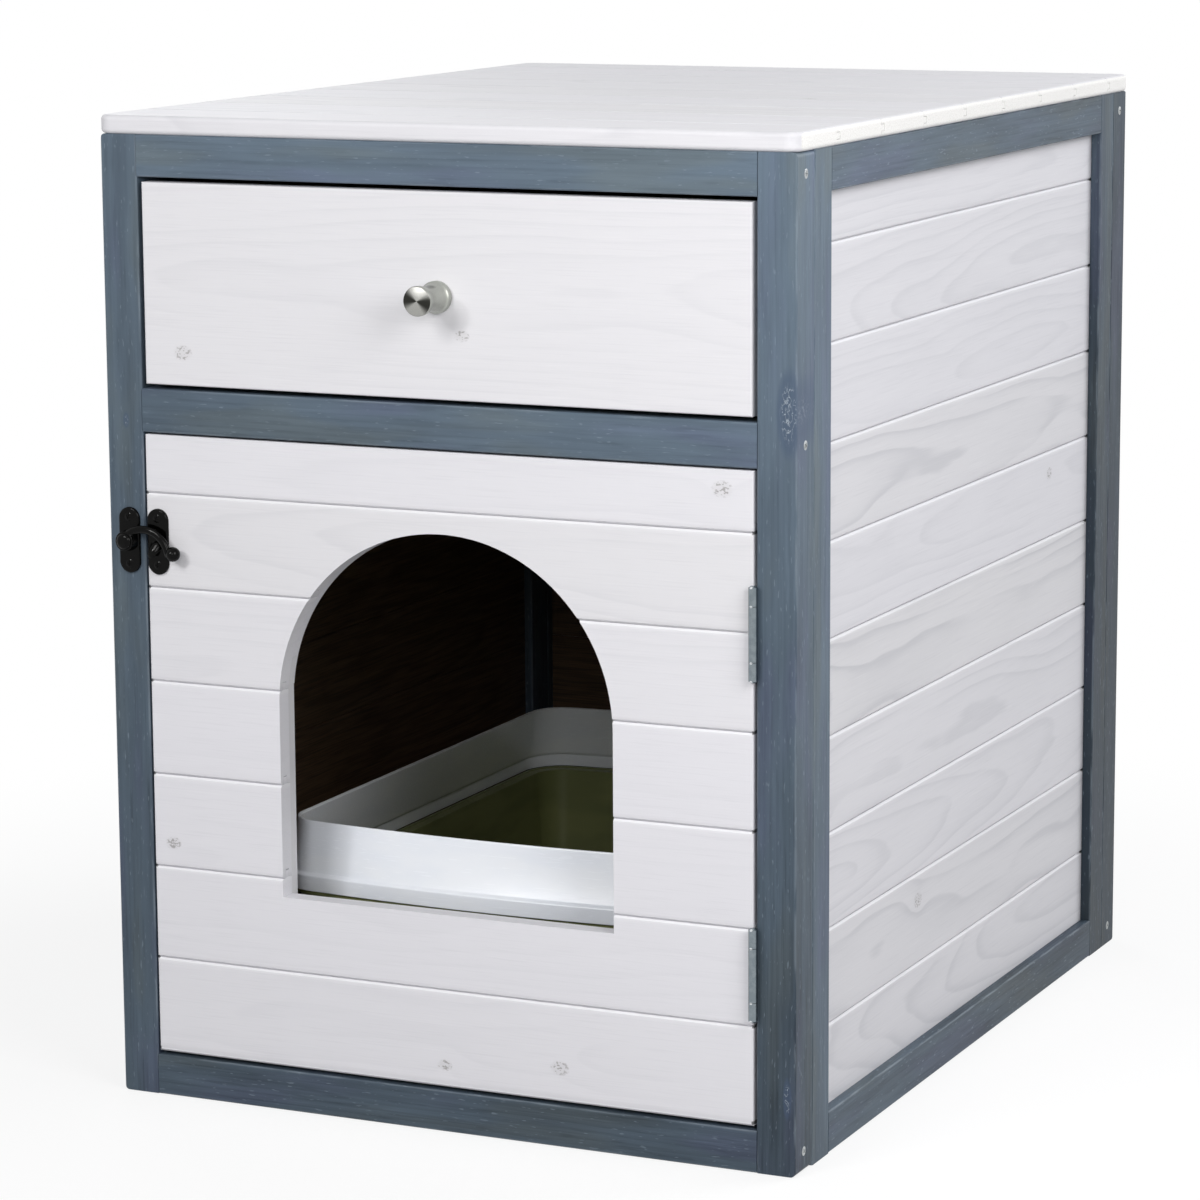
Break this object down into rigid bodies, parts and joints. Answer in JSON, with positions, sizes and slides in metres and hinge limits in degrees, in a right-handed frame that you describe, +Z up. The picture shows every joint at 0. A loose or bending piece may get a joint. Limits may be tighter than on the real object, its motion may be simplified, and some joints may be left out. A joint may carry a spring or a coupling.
{
  "type": "cat litter box cabinet",
  "caption": "Timber cabinet that hides a litter tray, with a plank-clad frame, an arched way in through its hinged front door, and a drawer above.",
  "frame": {"origin": "bottom centre of the whole cabinet's bounding box, on the floor", "axes": "+X to the right seen from the front, +Y to the back, +Z up; the door and drawer face -Y"},
  "size_m": [0.484, 0.664, 0.645],
  "materials": {
    "blue_grey_timber": "pine under a thin blue-grey glaze, satin",
    "white_glazed_boards": "pine boards under a thin white glaze, satin",
    "bare_timber": "untreated pine and plywood",
    "brushed_knob": "turned and brushed",
    "zinc_steel": "zinc plated",
    "black_latch": "gloss black paint on cast metal",
    "rim_plastic": "white moulded plastic",
    "pan_plastic": "olive moulded plastic"
  },
  "bodies": {
    "carcase": {"front_left_stile": "blue_grey_timber", "front_right_stile": "blue_grey_timber", "front_top_rail": "blue_grey_timber", "front_middle_rail": "blue_grey_timber", "front_bottom_rail": "blue_grey_timber", "rear_left_stile": "blue_grey_timber", "rear_right_stile": "blue_grey_timber", "rear_top_rail": "blue_grey_timber", "rear_bottom_rail": "blue_grey_timber", "left_side_front_stile": "blue_grey_timber", "left_side_rear_stile": "blue_grey_timber", "left_side_top_rail": "blue_grey_timber", "left_side_bottom_rail": "blue_grey_timber", "right_side_front_stile": "blue_grey_timber", "right_side_rear_stile": "blue_grey_timber", "right_side_top_rail": "blue_grey_timber", "right_side_bottom_rail": "blue_grey_timber", "left_side_planks": "white_glazed_boards", "right_side_planks": "white_glazed_boards", "rear_planks": "white_glazed_boards", "top_front_board": "white_glazed_boards", "top_middle_boards": "white_glazed_boards", "top_rear_board": "white_glazed_boards", "floor_panel": "bare_timber", "floor_cleats": "bare_timber", "drawer_shelf": "bare_timber", "drawer_runners": "bare_timber", "drawer_kickers": "bare_timber", "door_stop": "bare_timber", "hinge_frame_leaves": "zinc_steel", "hinge_pins": "zinc_steel", "frame_screws": "zinc_steel", "hinge_frame_screws": "zinc_steel", "latch_plate": "black_latch", "latch_pivot": "black_latch", "latch_plate_screws": "black_latch"},
    "door": {"door_plank_1": "white_glazed_boards", "door_plank_2": "white_glazed_boards", "door_plank_3": "white_glazed_boards", "door_plank_4": "white_glazed_boards", "door_plank_5": "white_glazed_boards", "door_plank_6": "white_glazed_boards", "door_plank_7": "white_glazed_boards", "door_left_batten": "white_glazed_boards", "door_right_batten": "white_glazed_boards", "door_top_batten": "white_glazed_boards", "hinge_door_leaves": "zinc_steel", "hinge_door_screws": "zinc_steel", "latch_keeper": "black_latch", "latch_keeper_screws": "black_latch"},
    "drawer": {"drawer_front": "white_glazed_boards", "drawer_left_side": "bare_timber", "drawer_right_side": "bare_timber", "drawer_back": "bare_timber", "drawer_bottom": "bare_timber", "drawer_knob": "brushed_knob", "drawer_knob_screw": "zinc_steel"},
    "latch_lever": {"latch_lever": "black_latch"},
    "tray": {"litter_pan": "pan_plastic", "spill_rim": "rim_plastic"}
  },
  "joints": [
    {"name": "door_swing", "type": "hinge", "parent": "carcase", "child": "door", "pos_m": [0.2129, -0.3062, 0.2345], "axis": [0, 0, 1], "range_deg": [0, 170]},
    {"name": "drawer_slide", "type": "slide", "parent": "carcase", "child": "drawer", "axis": [0, -1, 0], "range_m": [0, 0.35]},
    {"name": "latch_turn", "type": "hinge", "parent": "carcase", "child": "latch_lever", "pos_m": [-0.225, -0.308, 0.371], "axis": [0, -1, 0], "range_deg": [0, 90]},
    {"name": "tray_slide", "type": "slide", "parent": "carcase", "child": "tray", "axis": [0, 1, 0], "range_m": [-0.02, 0.1]}
  ]
}
